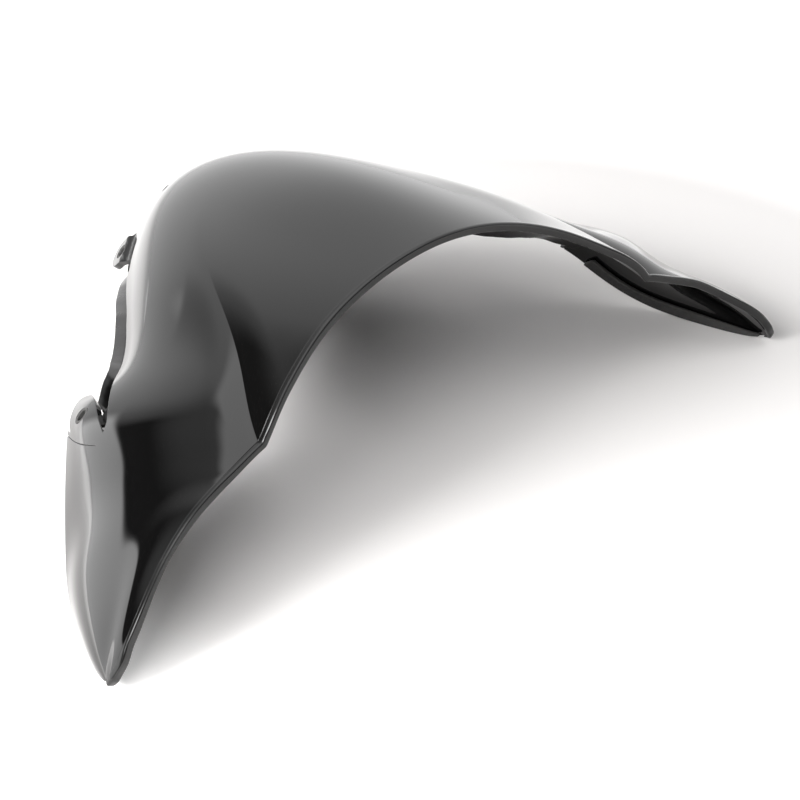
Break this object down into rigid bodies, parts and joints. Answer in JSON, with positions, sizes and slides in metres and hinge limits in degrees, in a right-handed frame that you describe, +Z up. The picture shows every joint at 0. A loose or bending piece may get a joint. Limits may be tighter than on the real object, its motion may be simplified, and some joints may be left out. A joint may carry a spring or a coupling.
{
  "type": "motorcycle windshield screen",
  "caption": "Dark smoked double-bubble motorcycle windshield screen with swept wings, edge bead, mounting flange and bushed fixing ears.",
  "frame": {"origin": "middle of the bounding box, at the height of the bench that the screen lies on", "axes": "+Z up, +Y to the nose (the front of the motorcycle), +X to the rider's right"},
  "size_m": [0.4, 0.2896, 0.1093],
  "materials": {
    "smoked_acrylic": "dark smoked acrylic, polished, nearly opaque",
    "gloss_bead": "black, glossy",
    "black_flange": "black, semi-gloss",
    "black_rubber": "black, matt"
  },
  "bodies": {
    "root": {"screen_moulding": "smoked_acrylic", "rim_edge_bead": "gloss_bead", "mounting_flange": "black_flange", "wing_seal_left": "black_rubber", "wing_seal_right": "black_rubber", "side_ear_bush_left": "black_rubber", "side_ear_bush_right": "black_rubber", "front_ear_bush_left": "black_rubber", "front_ear_bush_right": "black_rubber"}
  },
  "joints": []
}
